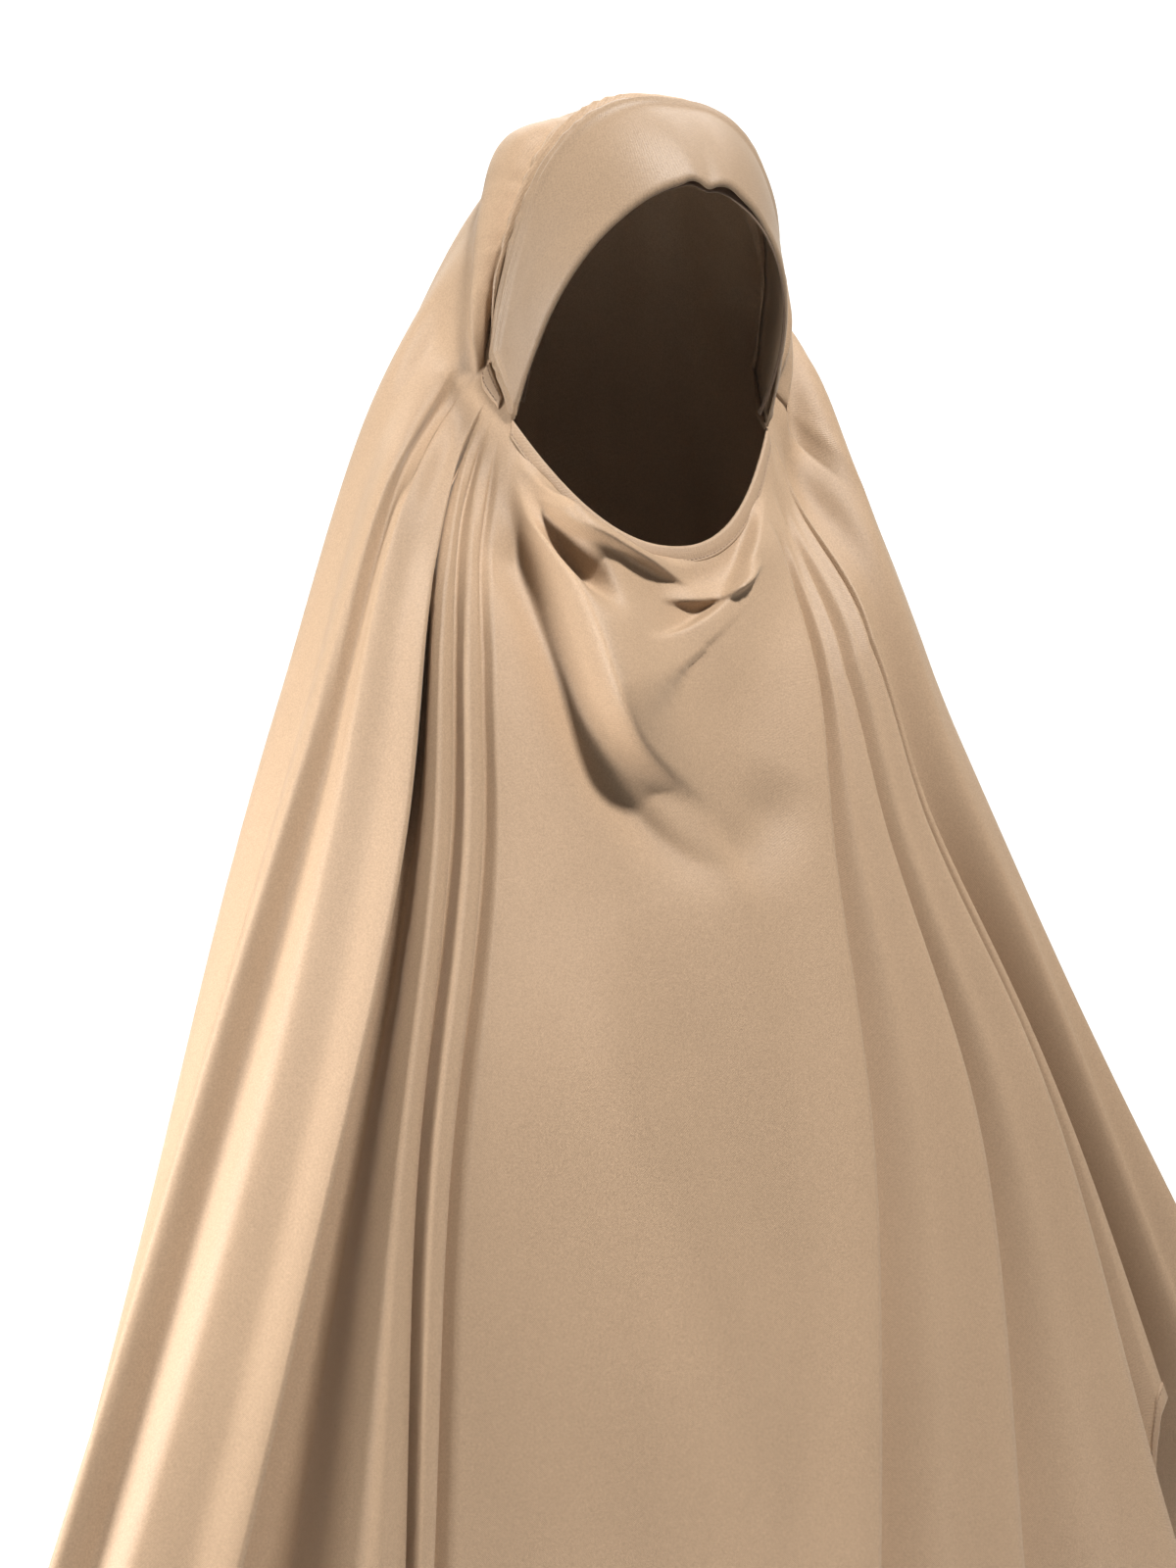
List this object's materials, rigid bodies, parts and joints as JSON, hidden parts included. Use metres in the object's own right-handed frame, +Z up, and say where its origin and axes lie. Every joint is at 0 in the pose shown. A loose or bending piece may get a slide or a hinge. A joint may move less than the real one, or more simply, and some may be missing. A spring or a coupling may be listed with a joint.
{
  "type": "khimar veil",
  "caption": "Long khimar veil, held as a head holds it: doubled forehead band, oval face opening, side gathers and cloth that falls in deep folds to a stitched hem.",
  "frame": {"origin": "inside of the crown, on the middle plane, where the veil sits on the top of the head", "axes": "+Z up, the face looks along -Y, +X is the wearer's left"},
  "size_m": [0.7649, 0.3189, 0.9026],
  "materials": {
    "veil_cloth": "matt satin crepe",
    "band_cloth": "matt satin crepe, doubled and smooth",
    "lining_cloth": "dull inner side of the crepe",
    "hem_cloth": "matt satin crepe, folded and stitched"
  },
  "bodies": {
    "root": {"veil": "veil_cloth", "forehead_band": "band_cloth", "band_lining": "lining_cloth", "chin_hem": "hem_cloth", "bottom_hem": "hem_cloth", "right_gather": "hem_cloth", "left_gather": "hem_cloth"}
  },
  "joints": []
}
